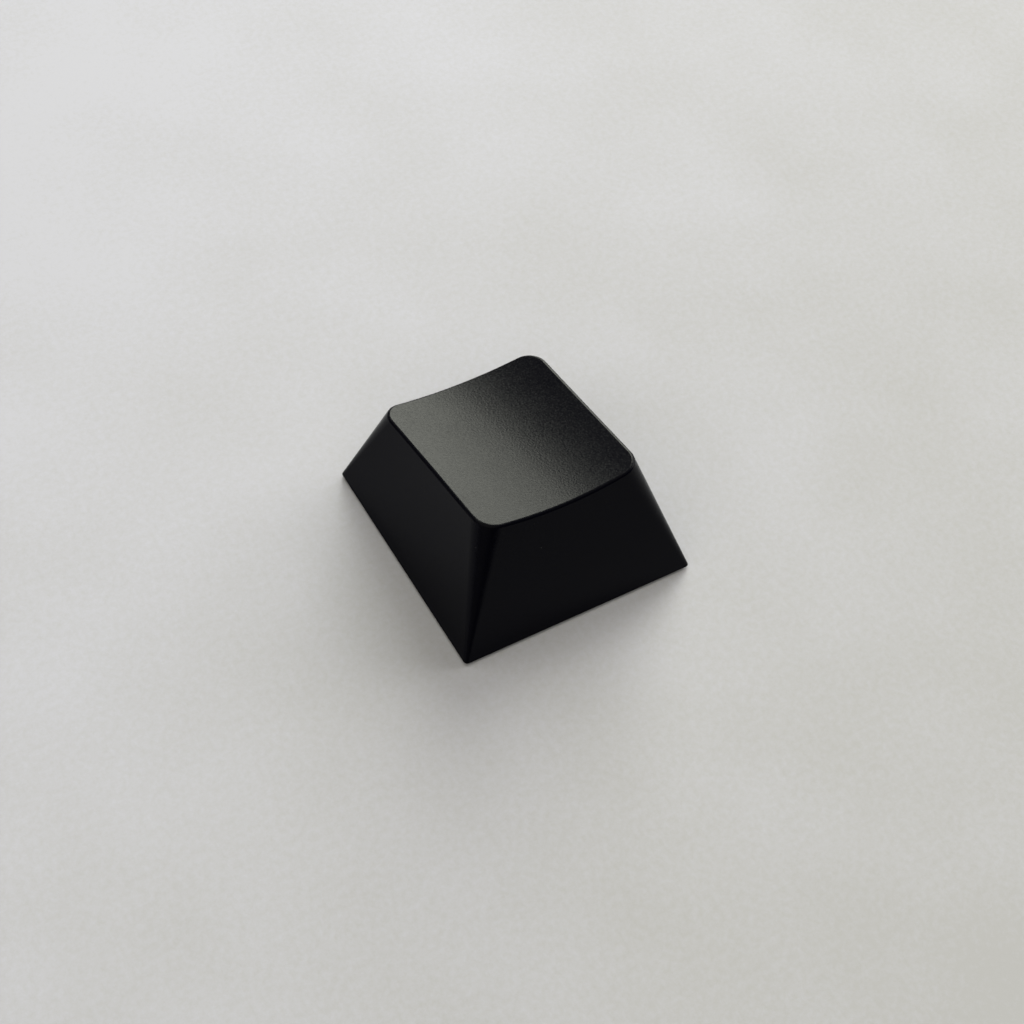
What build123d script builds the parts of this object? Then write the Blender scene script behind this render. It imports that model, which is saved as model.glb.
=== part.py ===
from build123d import *
import os
from math import cos, hypot, radians, sin, tan

# Keycap for one key of a keyboard's bottom row: one hollow moulding with a scooped, tilted top and a post.
# Millimetres, +Z up. The origin is on the stem's axis, level with the bottom edge, and -Y faces the typist.

# Outer form
BASE_WIDTH = 18.1             # left to right at the foot of the walls, just above the bottom bevel
BASE_DEPTH = 18.1             # front to back, likewise
BASE_CORNER_RADIUS = 0.3
TOP_WIDTH = 12.4              # from one side rim to the other
TOP_DEPTH = 14.25             # from front rim to back rim, along the tilted top
TOP_CORNER_RADIUS = 1.55
TOP_HEIGHT = 7.6              # middle of the rim above the bottom edge
TOP_SET_BACK = 1.9            # middle of the rim behind the stem's axis
TOP_TILT = 11.7               # degrees; the front rim is the higher one
DISH_DEPTH = 0.63             # sag of the scoop below the side rims
RIM_RADIUS = 0.22             # rounding between the scoop and the walls
FOOT_BEVEL = 0.25             # bevel of the outer bottom edge

# Hollow under the top
WALL = 1.45                   # level thickness of the walls
CROWN = 1.25                  # thickness under the lowest line of the scoop
MOUTH_CORNER_RADIUS = 1.0     # upright corners inside, at the bottom edge
CEILING_CORNER_RADIUS = 1.6   # the same corners at the ceiling
CEILING_RADIUS = 0.5          # rounding between the walls and the ceiling

# Stem post, its cross-shaped socket and the two ribs that brace it
POST_DIAMETER = 5.5           # at the post's lower end
POST_DRAFT = 1.0              # degrees; the post is thicker towards the ceiling
POST_RECESS = 0.6             # lower end of the post above the bottom edge
POST_BEVEL = 0.15             # bevel around the post's lower end
POST_ROOT_FLARE = 0.4         # bevel where the post meets the ceiling
SOCKET_LENGTH = 4.1           # end to end of each arm
SOCKET_ARM_ACROSS = 1.17      # width of the arm that runs left to right
SOCKET_ARM_ALONG = 1.31       # width of the arm that runs front to back
SOCKET_DEPTH = 3.8
SOCKET_LEAD_IN = 0.15         # bevel around the socket's mouth
RIB_THICKNESS = 0.8
RIB_HEIGHT = 1.6              # below the ceiling, at the post
RIB_EDGE_BREAK = 0.2          # bevel of a rib's free edge

# Stock on the blank above the rim, and on the hollow below the bottom edge, as shares of their heights
SPARE = 0.1


def ring(front, back, width, corner_radius):
    """One level of a wall: its front and back points (y, z) in the middle plane, and its width."""
    return [*front, *back, width, corner_radius]


def blend(low, high, share):
    """Ring on the straight walls through two rings, a share of the way up from the low one."""
    return [a + (b - a) * share for a, b in zip(low, high)]


def draw(sizes):
    """Rounded rectangle for a ring, on the plane through its front and back edges."""
    front_y, front_z, back_y, back_z, width, corner_radius = sizes
    plane = Plane(
        origin=(0, (front_y + back_y) / 2, (front_z + back_z) / 2),
        x_dir=(1, 0, 0),
        z_dir=(0, front_z - back_z, back_y - front_y),
    )
    return plane * RectangleRounded(width, hypot(back_y - front_y, back_z - front_z), corner_radius)


def crossing(point_a, way_a, point_b, way_b):
    """Where two lines in the middle plane meet."""
    turn = way_a[0] * way_b[1] - way_a[1] * way_b[0]
    reach_y = point_b[0] - point_a[0]
    reach_z = point_b[1] - point_a[1]
    steps = (reach_y * way_b[1] - reach_z * way_b[0]) / turn
    return point_a[0] + way_a[0] * steps, point_a[1] + way_a[1] * steps


def highest_flat(solid):
    """Flat face whose middle is highest."""
    return (solid.faces() | GeomType.PLANE).sort_by(Axis.Z)[-1]


def post_end_face(solid):
    """Level face at the post's lower end, the next one above the bottom edge."""
    return (solid.faces() | Plane.XY).sort_by(Axis.Z)[1]


# Middle plane: the rim's line and the ceiling's line are parallel, and each wall leans from foot to rim
along_top = (cos(radians(TOP_TILT)), -sin(radians(TOP_TILT)))
rim_front = (TOP_SET_BACK - along_top[0] * TOP_DEPTH / 2, TOP_HEIGHT - along_top[1] * TOP_DEPTH / 2)
rim_back = (TOP_SET_BACK + along_top[0] * TOP_DEPTH / 2, TOP_HEIGHT + along_top[1] * TOP_DEPTH / 2)
front_lean = (rim_front[0] + BASE_DEPTH / 2, rim_front[1] - FOOT_BEVEL)
back_lean = (rim_back[0] - BASE_DEPTH / 2, rim_back[1] - FOOT_BEVEL)
ceiling_drop = DISH_DEPTH + CROWN
ceiling_middle = (TOP_SET_BACK + along_top[1] * ceiling_drop, TOP_HEIGHT - along_top[0] * ceiling_drop)
sole_front = (FOOT_BEVEL - BASE_DEPTH / 2, 0)
sole_back = (BASE_DEPTH / 2 - FOOT_BEVEL, 0)
mouth_front = (WALL - BASE_DEPTH / 2, 0)
mouth_back = (BASE_DEPTH / 2 - WALL, 0)
ceiling_front = crossing(mouth_front, front_lean, ceiling_middle, along_top)
ceiling_back = crossing(mouth_back, back_lean, ceiling_middle, along_top)
ceiling_share = (ceiling_front[1] + ceiling_back[1]) / 2 / TOP_HEIGHT
ceiling_width = BASE_WIDTH + (TOP_WIDTH - BASE_WIDTH) * ceiling_share - 2 * WALL
ceiling_over_post = ceiling_middle[1] + tan(radians(TOP_TILT)) * ceiling_middle[0]

# Levels of the outer walls, whose bottom edge is bevelled from sole to foot, and of the inner walls
sole = ring(sole_front, sole_back, BASE_WIDTH - 2 * FOOT_BEVEL, BASE_CORNER_RADIUS / 2)
foot = ring((-BASE_DEPTH / 2, FOOT_BEVEL), (BASE_DEPTH / 2, FOOT_BEVEL), BASE_WIDTH, BASE_CORNER_RADIUS)
rim = ring(rim_front, rim_back, TOP_WIDTH, TOP_CORNER_RADIUS)
mouth = ring(mouth_front, mouth_back, BASE_WIDTH - 2 * WALL, MOUTH_CORNER_RADIUS)
ceiling = ring(ceiling_front, ceiling_back, ceiling_width, CEILING_CORNER_RADIUS)

# Outer form: straight walls up past the rim, then the scoop, whose axis runs along the tilted top
blank = loft([draw(sole), draw(foot), draw(blend(foot, rim, 1 + SPARE))], ruled=True)
dish_radius = (TOP_WIDTH ** 2 / 4 + DISH_DEPTH ** 2) / (2 * DISH_DEPTH)
rim_middle = (0, TOP_SET_BACK, TOP_HEIGHT)
rim_plane = Plane(origin=rim_middle, x_dir=(1, 0, 0), z_dir=(0, -along_top[1], along_top[0]))
scoop_place = rim_plane * Pos(0, 0, dish_radius - DISH_DEPTH) * Rot(90, 0, 0)
scoop = scoop_place * Cylinder(dish_radius, 3 * BASE_DEPTH)
blank -= scoop
dish_face = (blank.faces() | GeomType.CYLINDER).sort_by(SortBy.AREA)[-1]
blank = fillet(dish_face.outer_wire().edges(), RIM_RADIUS)

# Stem post, with its draft, tall enough to run into the ceiling
post_length = TOP_HEIGHT - POST_RECESS
post_end_radius = POST_DIAMETER / 2
post_root_radius = post_end_radius + post_length * tan(radians(POST_DRAFT))
on_end = (Align.CENTER, Align.CENTER, Align.MIN)
post = Pos(0, 0, POST_RECESS) * Cone(post_end_radius, post_root_radius, post_length, align=on_end)

# Ribs from the post to the side walls, as one bar that the post and the walls cut to length
bar = Pos(0, 0, ceiling_over_post - RIB_HEIGHT) * Box(BASE_WIDTH, RIB_THICKNESS, TOP_HEIGHT, align=on_end)
bar = chamfer((bar.edges() | Axis.X).sort_by(Axis.Z)[:2], RIB_EDGE_BREAK)

# Hollow: leaning walls and a ceiling parallel to the rim, less the post and the ribs that stay in it
hollow = loft([draw(blend(mouth, ceiling, -SPARE)), draw(ceiling)], ruled=True)
hollow = fillet(highest_flat(hollow).outer_wire().edges(), CEILING_RADIUS)
hollow -= post
hollow = chamfer(highest_flat(hollow).inner_wires()[0].edges(), POST_ROOT_FLARE)
hollow -= bar

# Cross-shaped socket in the post's lower end
cross = Rectangle(SOCKET_LENGTH, SOCKET_ARM_ACROSS) + Rectangle(SOCKET_ARM_ALONG, SOCKET_LENGTH)
socket = extrude(Pos(0, 0, POST_RECESS) * cross, SOCKET_DEPTH)

# The moulding, then the edges of the post's lower end
keycap = blank - hollow - socket
keycap = chamfer(post_end_face(keycap).outer_wire().edges(), POST_BEVEL)
keycap = chamfer(post_end_face(keycap).inner_wires()[0].edges(), SOCKET_LEAD_IN)

os.makedirs("parts", exist_ok=True)
export_step(keycap, "parts/keycap.step")
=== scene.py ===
import math

import bpy
from mathutils import Matrix, Vector

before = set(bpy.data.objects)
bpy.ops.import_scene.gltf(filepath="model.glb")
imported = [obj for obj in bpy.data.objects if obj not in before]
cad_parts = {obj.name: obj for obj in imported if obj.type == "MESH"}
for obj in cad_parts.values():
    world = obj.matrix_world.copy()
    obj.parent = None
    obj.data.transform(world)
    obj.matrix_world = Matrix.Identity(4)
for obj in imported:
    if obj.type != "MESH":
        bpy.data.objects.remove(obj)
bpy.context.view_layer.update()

# A blank black keycap on pale paper, lit by soft windows behind it and to its right.
# Lengths are metres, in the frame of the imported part, unless a comment says otherwise.
MM = 0.001
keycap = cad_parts["keycap"]

# Camera, at the photograph's angle: it looks down at the front left corner and is rolled a little
CAMERA_AZIMUTH = -37.04       # degrees, from the front towards the right
CAMERA_ELEVATION = 53.3       # degrees above the paper
CAMERA_ROLL = 8.48            # degrees
CAMERA_DISTANCE = 145.16 * MM
CAMERA_AIM = Vector((0.169, 0.553, 0.25)) * MM
CAMERA_LENS = 72.0            # millimetres
CAMERA_FRAME = 36.0           # millimetres, width of the square frame
CAMERA_NEAR = 5 * MM          # nearest and farthest that the camera sees
CAMERA_FAR = 10.0

# Soft lights: upright panels that face the cap. Each row is a name, the first and last bearing, the bottom,
# the top, the radiance and the colour. A bearing is in degrees from +X, counter-clockwise, and the camera
# looks along a bearing of about 53.
LIGHT_DISTANCE = 0.6
WINDOW_FIRST = 40
WINDOW_LAST = 65.5
WINDOW_SILL = 0.14            # height where the dimmer foot of the window ends
WINDOW_COLOUR = (1.0, 1.02, 0.90)
LIGHTS = (
    ("window", WINDOW_FIRST, WINDOW_LAST, WINDOW_SILL, 0.70, 9.95, WINDOW_COLOUR),
    ("side_window", -15, WINDOW_FIRST, 0.11, 0.62, 2.8, (1.0, 1.0, 0.95)),
    ("window_foot", WINDOW_FIRST, WINDOW_LAST, 0.01, WINDOW_SILL, 4.0, WINDOW_COLOUR),
    ("high_window", 68, 115, 0.70, 1.25, 2.6, (1.0, 1.0, 0.93)),
)

# Dim light of the room, with one lighter patch high up
ROOM_COLOUR = (1.0, 0.965, 0.81)
ROOM_DARK = 0.09              # radiance away from the patch
ROOM_LIGHT = 0.72             # radiance in the patch
PATCH_BEARING = 200
PATCH_ELEVATION = 57          # degrees above the horizon
PATCH_CORE = 15               # degrees from its middle to where it starts to fade
PATCH_REACH = 64              # degrees from its middle to where it ends

# Paper under the cap, with painted light: its colour is lighter to one side, as if more light fell there,
# and bluer on that side
PAPER_HALF_WIDTH = 3.0
# Painted lit and painted shaded colours of the paper; the mottle and fibres also vary between these two
PAPER_PAINTED_LIT = (0.669, 0.670, 0.763)
PAPER_PAINTED_SHADE = (0.551, 0.547, 0.577)
PAPER_PAINTED_LIGHT_BEARING = 127      # degrees from +X, counter-clockwise, towards the side with the painted light
PAPER_PAINTED_LIGHT_REACH = 50         # millimetres each way
MOTTLE_SIZE = 14              # millimetres; broad faint clouds
MOTTLE_STRENGTH = 0.17        # share of the way from shade to light, each way
FIBRE_SIZE = 0.5              # millimetres
FIBRE_STRENGTH = 0.25         # share of the way from shade to light, each way
FIBRE_HEIGHT = 0.02 * MM
FIBRE_BUMP = 0.5              # strength of the fibres' relief
PAPER_ROUGHNESS = 0.9
PAPER_SHINE = 0.1             # specular level

# Black plastic: a sandy top, a slightly rougher rim and smooth walls, whose colour is a darker copy of the
# top's as painted shade
SHINE = 0.076                 # specular level
TOP_COLOUR = (0.0031, 0.0032, 0.0058)
# Painted shade: the walls' colour is darker than the top's, though both are the same plastic
WALL_SHADED_COLOUR = (0.0008, 0.0009, 0.0037)
TOP_ROUGHNESS = 0.255
RIM_ROUGHNESS = 0.30
WALL_ROUGHNESS = 0.18
SMUDGE_SIZE = 3.5             # millimetres; broad patches that differ a little in gloss
SMUDGE_GLOSS = 0.02           # change of roughness each way
SPOT_SIZE = 0.17              # millimetres; fine spots on the top that differ in gloss
SPOT_GLOSS = 0.038            # change of roughness each way
SHADE_SIZE = 0.136            # millimetres; fine spots on the top that differ in shade
SHADE_CHANGE = 0.0008         # change of colour each way
GRAIN_SIZE = 0.13             # millimetres
GRAIN_HEIGHT = 0.0057 * MM    # on the top
WALL_GRAIN = 0.5              # grain on the walls, as a share of the top's
RIPPLE_SIZE = 0.9             # millimetres; soft unevenness under the grain
RIPPLE_SHARE = 0.055          # its height, as a share of the grain's
DUST_COLOUR = (0.05, 0.05, 0.052)
DUST_SPACING = 1.1            # millimetres; each cell of this size has room for one speck
DUST_SIZE = 0.05              # radius of a speck, as a share of the spacing
DUST_CORE = 0.025             # radius inside which a speck is whole, likewise
DUST_RARITY = (0.7, 0.95)     # a cell's chance number where specks start to show and where they are whole

# Which face is top, rim or wall: degrees that it leans away from the direction the rim's plane faces
TOP_TILT = 11.7               # degrees; the front rim is the higher one
TOP_WHOLE = 18
TOP_ENDS = 40
WALL_STARTS = 50
WALL_WHOLE = 64

# Most of a noise's values lie between these two
NOISE_LOW = 0.3
NOISE_HIGH = 0.7


class Nodes:
    """Short way to add linked nodes to one node tree."""

    def __init__(self, tree):
        self.tree = tree

    def add(self, kind, settings=None, **sockets):
        """New node of a kind, with its settings and what goes into its sockets."""
        node = self.tree.nodes.new("ShaderNode" + kind)
        for name, value in (settings or {}).items():
            setattr(node, name, value)
        for name, value in sockets.items():
            self.put(node, name, value)
        return node

    def put(self, node, name, value):
        """Links or sets a socket, given by its name or by its number as text."""
        socket = node.inputs[int(name)] if name.isdigit() else node.inputs[name]
        if isinstance(value, bpy.types.NodeSocket):
            self.tree.links.new(value, socket)
        else:
            socket.default_value = value

    def noise(self, place, size, detail=2.0, roughness=0.5):
        """Grey noise whose features are about size across, in the units of place."""
        node = self.add("TexNoise", Vector=place, Scale=1 / size, Detail=detail, Roughness=roughness)
        return node.outputs["Fac"]

    def spread(self, value, low, high, to_low, to_high, smooth=False):
        """Value carried from one range to another, held at the ends."""
        kind = "SMOOTHSTEP" if smooth else "LINEAR"
        node = self.add("MapRange", {"interpolation_type": kind}, Value=value)
        for name, number in (("From Min", low), ("From Max", high), ("To Min", to_low), ("To Max", to_high)):
            self.put(node, name, number)
        return node.outputs["Result"]

    def swing(self, noise, reach):
        """Noise turned into a change of up to reach, each way."""
        return self.spread(noise, NOISE_LOW, NOISE_HIGH, -reach, reach)

    def dot(self, vector, fixed):
        """How far a vector reaches along a fixed one."""
        node = self.add("VectorMath", {"operation": "DOT_PRODUCT"})
        self.put(node, "0", vector)
        self.put(node, "1", fixed)
        return node.outputs["Value"]

    def math(self, operation, first, second):
        """Result of one operation on two values."""
        node = self.add("Math", {"operation": operation})
        self.put(node, "0", first)
        self.put(node, "1", second)
        return node.outputs[0]

    def total(self, first, *others):
        """Sum of several values."""
        for value in others:
            first = self.math("ADD", first, value)
        return first

    def millimetres(self):
        """Place in the object, in millimetres."""
        place = self.add("TexCoord").outputs["Object"]
        return self.add("Mapping", Vector=place, Scale=(1 / MM,) * 3).outputs[0]

    def mix_colour(self, share, first, second):
        """Blend of two colours. The node takes them at sockets 6 and 7 and gives the blend at output 2."""
        node = self.add("Mix", {"data_type": "RGBA"})
        for slot, value in (("0", share), ("6", first), ("7", second)):
            self.put(node, slot, value)
        return node.outputs[2]


def colour(rgb):
    """Opaque colour, as a colour socket takes it."""
    return (*rgb, 1.0)


def new_material(name):
    """New material, with its node helper and its Principled shader."""
    material = bpy.data.materials.new(name)
    material.use_nodes = True
    nodes = Nodes(material.node_tree)
    return material, nodes, material.node_tree.nodes["Principled BSDF"]


def plastic_zones(nodes):
    """Two masks from the way a face leans: 1 on the top, and 1 everywhere but on the walls."""
    tilt = math.radians(TOP_TILT)
    normal = nodes.add("TexCoord").outputs["Normal"]
    facing = nodes.dot(normal, (0.0, math.sin(tilt), math.cos(tilt)))
    leans = (TOP_ENDS, TOP_WHOLE, WALL_WHOLE, WALL_STARTS)
    top_ends, top_whole, wall_whole, wall_starts = (math.cos(math.radians(lean)) for lean in leans)
    on_top = nodes.spread(facing, top_ends, top_whole, 0.0, 1.0, smooth=True)
    off_wall = nodes.spread(facing, wall_whole, wall_starts, 0.0, 1.0, smooth=True)
    return on_top, off_wall


def plastic_colour(nodes, place, on_top):
    """Near black, with fine spots of shade on the top, and a darker copy of the colour on the walls as
    painted shade.
    """
    shades = nodes.spread(nodes.noise(place, SHADE_SIZE, detail=0.0), NOISE_LOW, NOISE_HIGH, 0.0, 1.0)
    darker = tuple(part - SHADE_CHANGE for part in TOP_COLOUR)
    lighter = tuple(part + SHADE_CHANGE for part in TOP_COLOUR)
    spotted = nodes.mix_colour(shades, colour(darker), colour(lighter))
    # Painted shade: off the top, the walls take the darker wall colour
    return nodes.mix_colour(on_top, colour(WALL_SHADED_COLOUR), spotted)


def dust_mask(nodes, place):
    """Mask that rises to 1 in a few small, scattered specks."""
    cells = nodes.add("TexVoronoi", Vector=place, Scale=1 / DUST_SPACING)
    speck = nodes.spread(cells.outputs["Distance"], DUST_CORE, DUST_SIZE, 1.0, 0.0)
    chance = nodes.add("SeparateColor", Color=cells.outputs["Color"]).outputs[0]
    kept = nodes.spread(chance, *DUST_RARITY, 0.0, 1.0)
    return nodes.math("MULTIPLY", speck, kept)


def plastic_roughness(nodes, place, on_top, off_wall):
    """Roughness of each zone, with fine spots of gloss on the top and broad smudges all over."""
    smudge = nodes.swing(nodes.noise(place, SMUDGE_SIZE, detail=3.0), SMUDGE_GLOSS)
    spots = nodes.swing(nodes.noise(place, SPOT_SIZE, detail=0.0), SPOT_GLOSS)
    zone = nodes.spread(on_top, 0.0, 1.0, RIM_ROUGHNESS, TOP_ROUGHNESS)
    wall = nodes.spread(off_wall, 0.0, 1.0, WALL_ROUGHNESS - RIM_ROUGHNESS, 0.0)
    return nodes.total(zone, nodes.math("MULTIPLY", spots, on_top), wall, smudge)


def plastic_relief(nodes, place, on_top):
    """Normal bent by a very low grain, fainter on the walls, and by a soft ripple."""
    grain_share = nodes.spread(on_top, 0.0, 1.0, WALL_GRAIN, 1.0)
    grain = nodes.math("MULTIPLY", nodes.noise(place, GRAIN_SIZE, detail=0.0), grain_share)
    ripple = nodes.math("MULTIPLY", nodes.noise(place, RIPPLE_SIZE), RIPPLE_SHARE)
    bump = nodes.add("Bump", Height=nodes.total(grain, ripple), Strength=1.0, Distance=GRAIN_HEIGHT)
    return bump.outputs["Normal"]


def plastic_material():
    """Black moulded plastic: a sandy top, a slightly rougher rim, smooth walls painted darker as shade, and
    a little dust.
    """
    material, nodes, shader = new_material("black_plastic_finish")
    place = nodes.millimetres()
    on_top, off_wall = plastic_zones(nodes)
    tint = plastic_colour(nodes, place, on_top)
    dusty = nodes.mix_colour(dust_mask(nodes, place), tint, colour(DUST_COLOUR))
    nodes.put(shader, "Base Color", dusty)
    nodes.put(shader, "Roughness", plastic_roughness(nodes, place, on_top, off_wall))
    nodes.put(shader, "Specular IOR Level", SHINE)
    nodes.put(shader, "Normal", plastic_relief(nodes, place, on_top))
    return material


def paper_material():
    """Pale matte paper with painted light, lighter to one side, and with a faint mottle and fine fibres."""
    material, nodes, shader = new_material("pale_paper")
    place = nodes.millimetres()
    # Painted light: the paper's colour runs from its painted shade to its painted lit colour along this
    # bearing
    bearing = math.radians(PAPER_PAINTED_LIGHT_BEARING)
    along = nodes.dot(place, (math.cos(bearing), math.sin(bearing), 0.0))
    fade = nodes.spread(along, -PAPER_PAINTED_LIGHT_REACH, PAPER_PAINTED_LIGHT_REACH, 0.0, 1.0)
    mottle = nodes.swing(nodes.noise(place, MOTTLE_SIZE, detail=5.0), MOTTLE_STRENGTH)
    fibre = nodes.noise(place, FIBRE_SIZE, detail=5.0, roughness=0.75)
    speckle = nodes.swing(fibre, FIBRE_STRENGTH)
    share = nodes.total(fade, mottle, speckle)
    nodes.put(shader, "Base Color", nodes.mix_colour(share, colour(PAPER_PAINTED_SHADE), colour(PAPER_PAINTED_LIT)))
    bump = nodes.add("Bump", Height=fibre, Strength=FIBRE_BUMP, Distance=FIBRE_HEIGHT)
    nodes.put(shader, "Normal", bump.outputs["Normal"])
    nodes.put(shader, "Roughness", PAPER_ROUGHNESS)
    nodes.put(shader, "Specular IOR Level", PAPER_SHINE)
    return material


def add_paper():
    """Large flat sheet that the cap stands on."""
    sides = ((-1, -1), (1, -1), (1, 1), (-1, 1))
    corners = [(x * PAPER_HALF_WIDTH, y * PAPER_HALF_WIDTH, 0) for x, y in sides]
    mesh = bpy.data.meshes.new("paper")
    mesh.from_pydata(corners, [], [(0, 1, 2, 3)])
    paper = bpy.data.objects.new("paper", mesh)
    bpy.context.scene.collection.objects.link(paper)
    mesh.materials.append(paper_material())


def add_light(name, first, last, bottom, top, radiance, light_colour):
    """Upright rectangular soft light that faces the cap and reaches from one bearing to another."""
    width = 2 * LIGHT_DISTANCE * math.tan(math.radians(last - first) / 2)
    height = top - bottom
    lamp = bpy.data.lights.new(name, "AREA")
    lamp.shape = "RECTANGLE"
    lamp.size = width
    lamp.size_y = height
    lamp.energy = radiance * math.pi * width * height
    lamp.color = light_colour
    light = bpy.data.objects.new(name, lamp)
    bearing = math.radians(first + last) / 2
    outward = Vector((math.cos(bearing), math.sin(bearing), 0))
    middle = outward * LIGHT_DISTANCE + Vector((0, 0, (bottom + top) / 2))
    upward = Vector((0, 0, 1))
    turn = Matrix((upward.cross(outward), upward, outward)).transposed()
    light.matrix_world = Matrix.Translation(middle) @ turn.to_4x4()
    bpy.context.scene.collection.objects.link(light)


def set_room():
    """Dim light from the rest of the room, from the world."""
    world = bpy.data.worlds.new("room")
    world.use_nodes = True
    nodes = Nodes(world.node_tree)
    bearing = math.radians(PATCH_BEARING)
    lift = math.radians(PATCH_ELEVATION)
    middle = (math.cos(bearing) * math.cos(lift), math.sin(bearing) * math.cos(lift), math.sin(lift))
    towards = nodes.dot(nodes.add("TexCoord").outputs["Generated"], middle)
    core, end = (math.cos(math.radians(angle)) for angle in (PATCH_CORE, PATCH_REACH))
    sky = world.node_tree.nodes["Background"]
    nodes.put(sky, "Color", colour(ROOM_COLOUR))
    nodes.put(sky, "Strength", nodes.spread(towards, end, core, ROOM_DARK, ROOM_LIGHT, smooth=True))
    bpy.context.scene.world = world


def add_camera():
    """Camera that looks at its aim from the given azimuth and elevation, rolled about its line of sight."""
    azimuth, elevation, roll = (math.radians(a) for a in (CAMERA_AZIMUTH, CAMERA_ELEVATION, CAMERA_ROLL))
    flat = math.cos(elevation)
    back = Vector((math.sin(azimuth) * flat, -math.cos(azimuth) * flat, math.sin(elevation)))
    level = Vector((math.cos(azimuth), math.sin(azimuth), 0))
    upward = back.cross(level)
    side = math.cos(roll) * level + math.sin(roll) * upward
    head = math.cos(roll) * upward - math.sin(roll) * level
    lens = bpy.data.cameras.new("camera")
    lens.lens = CAMERA_LENS
    lens.sensor_width = CAMERA_FRAME
    lens.clip_start = CAMERA_NEAR
    lens.clip_end = CAMERA_FAR
    camera = bpy.data.objects.new("camera", lens)
    turn = Matrix((side, head, back)).transposed()
    camera.matrix_world = Matrix.Translation(CAMERA_AIM + back * CAMERA_DISTANCE) @ turn.to_4x4()
    bpy.context.scene.collection.objects.link(camera)
    bpy.context.scene.camera = camera


keycap.data.materials[0] = plastic_material()
add_paper()
for light in LIGHTS:
    add_light(*light)
set_room()
add_camera()
bpy.context.scene.view_settings.view_transform = "Standard"
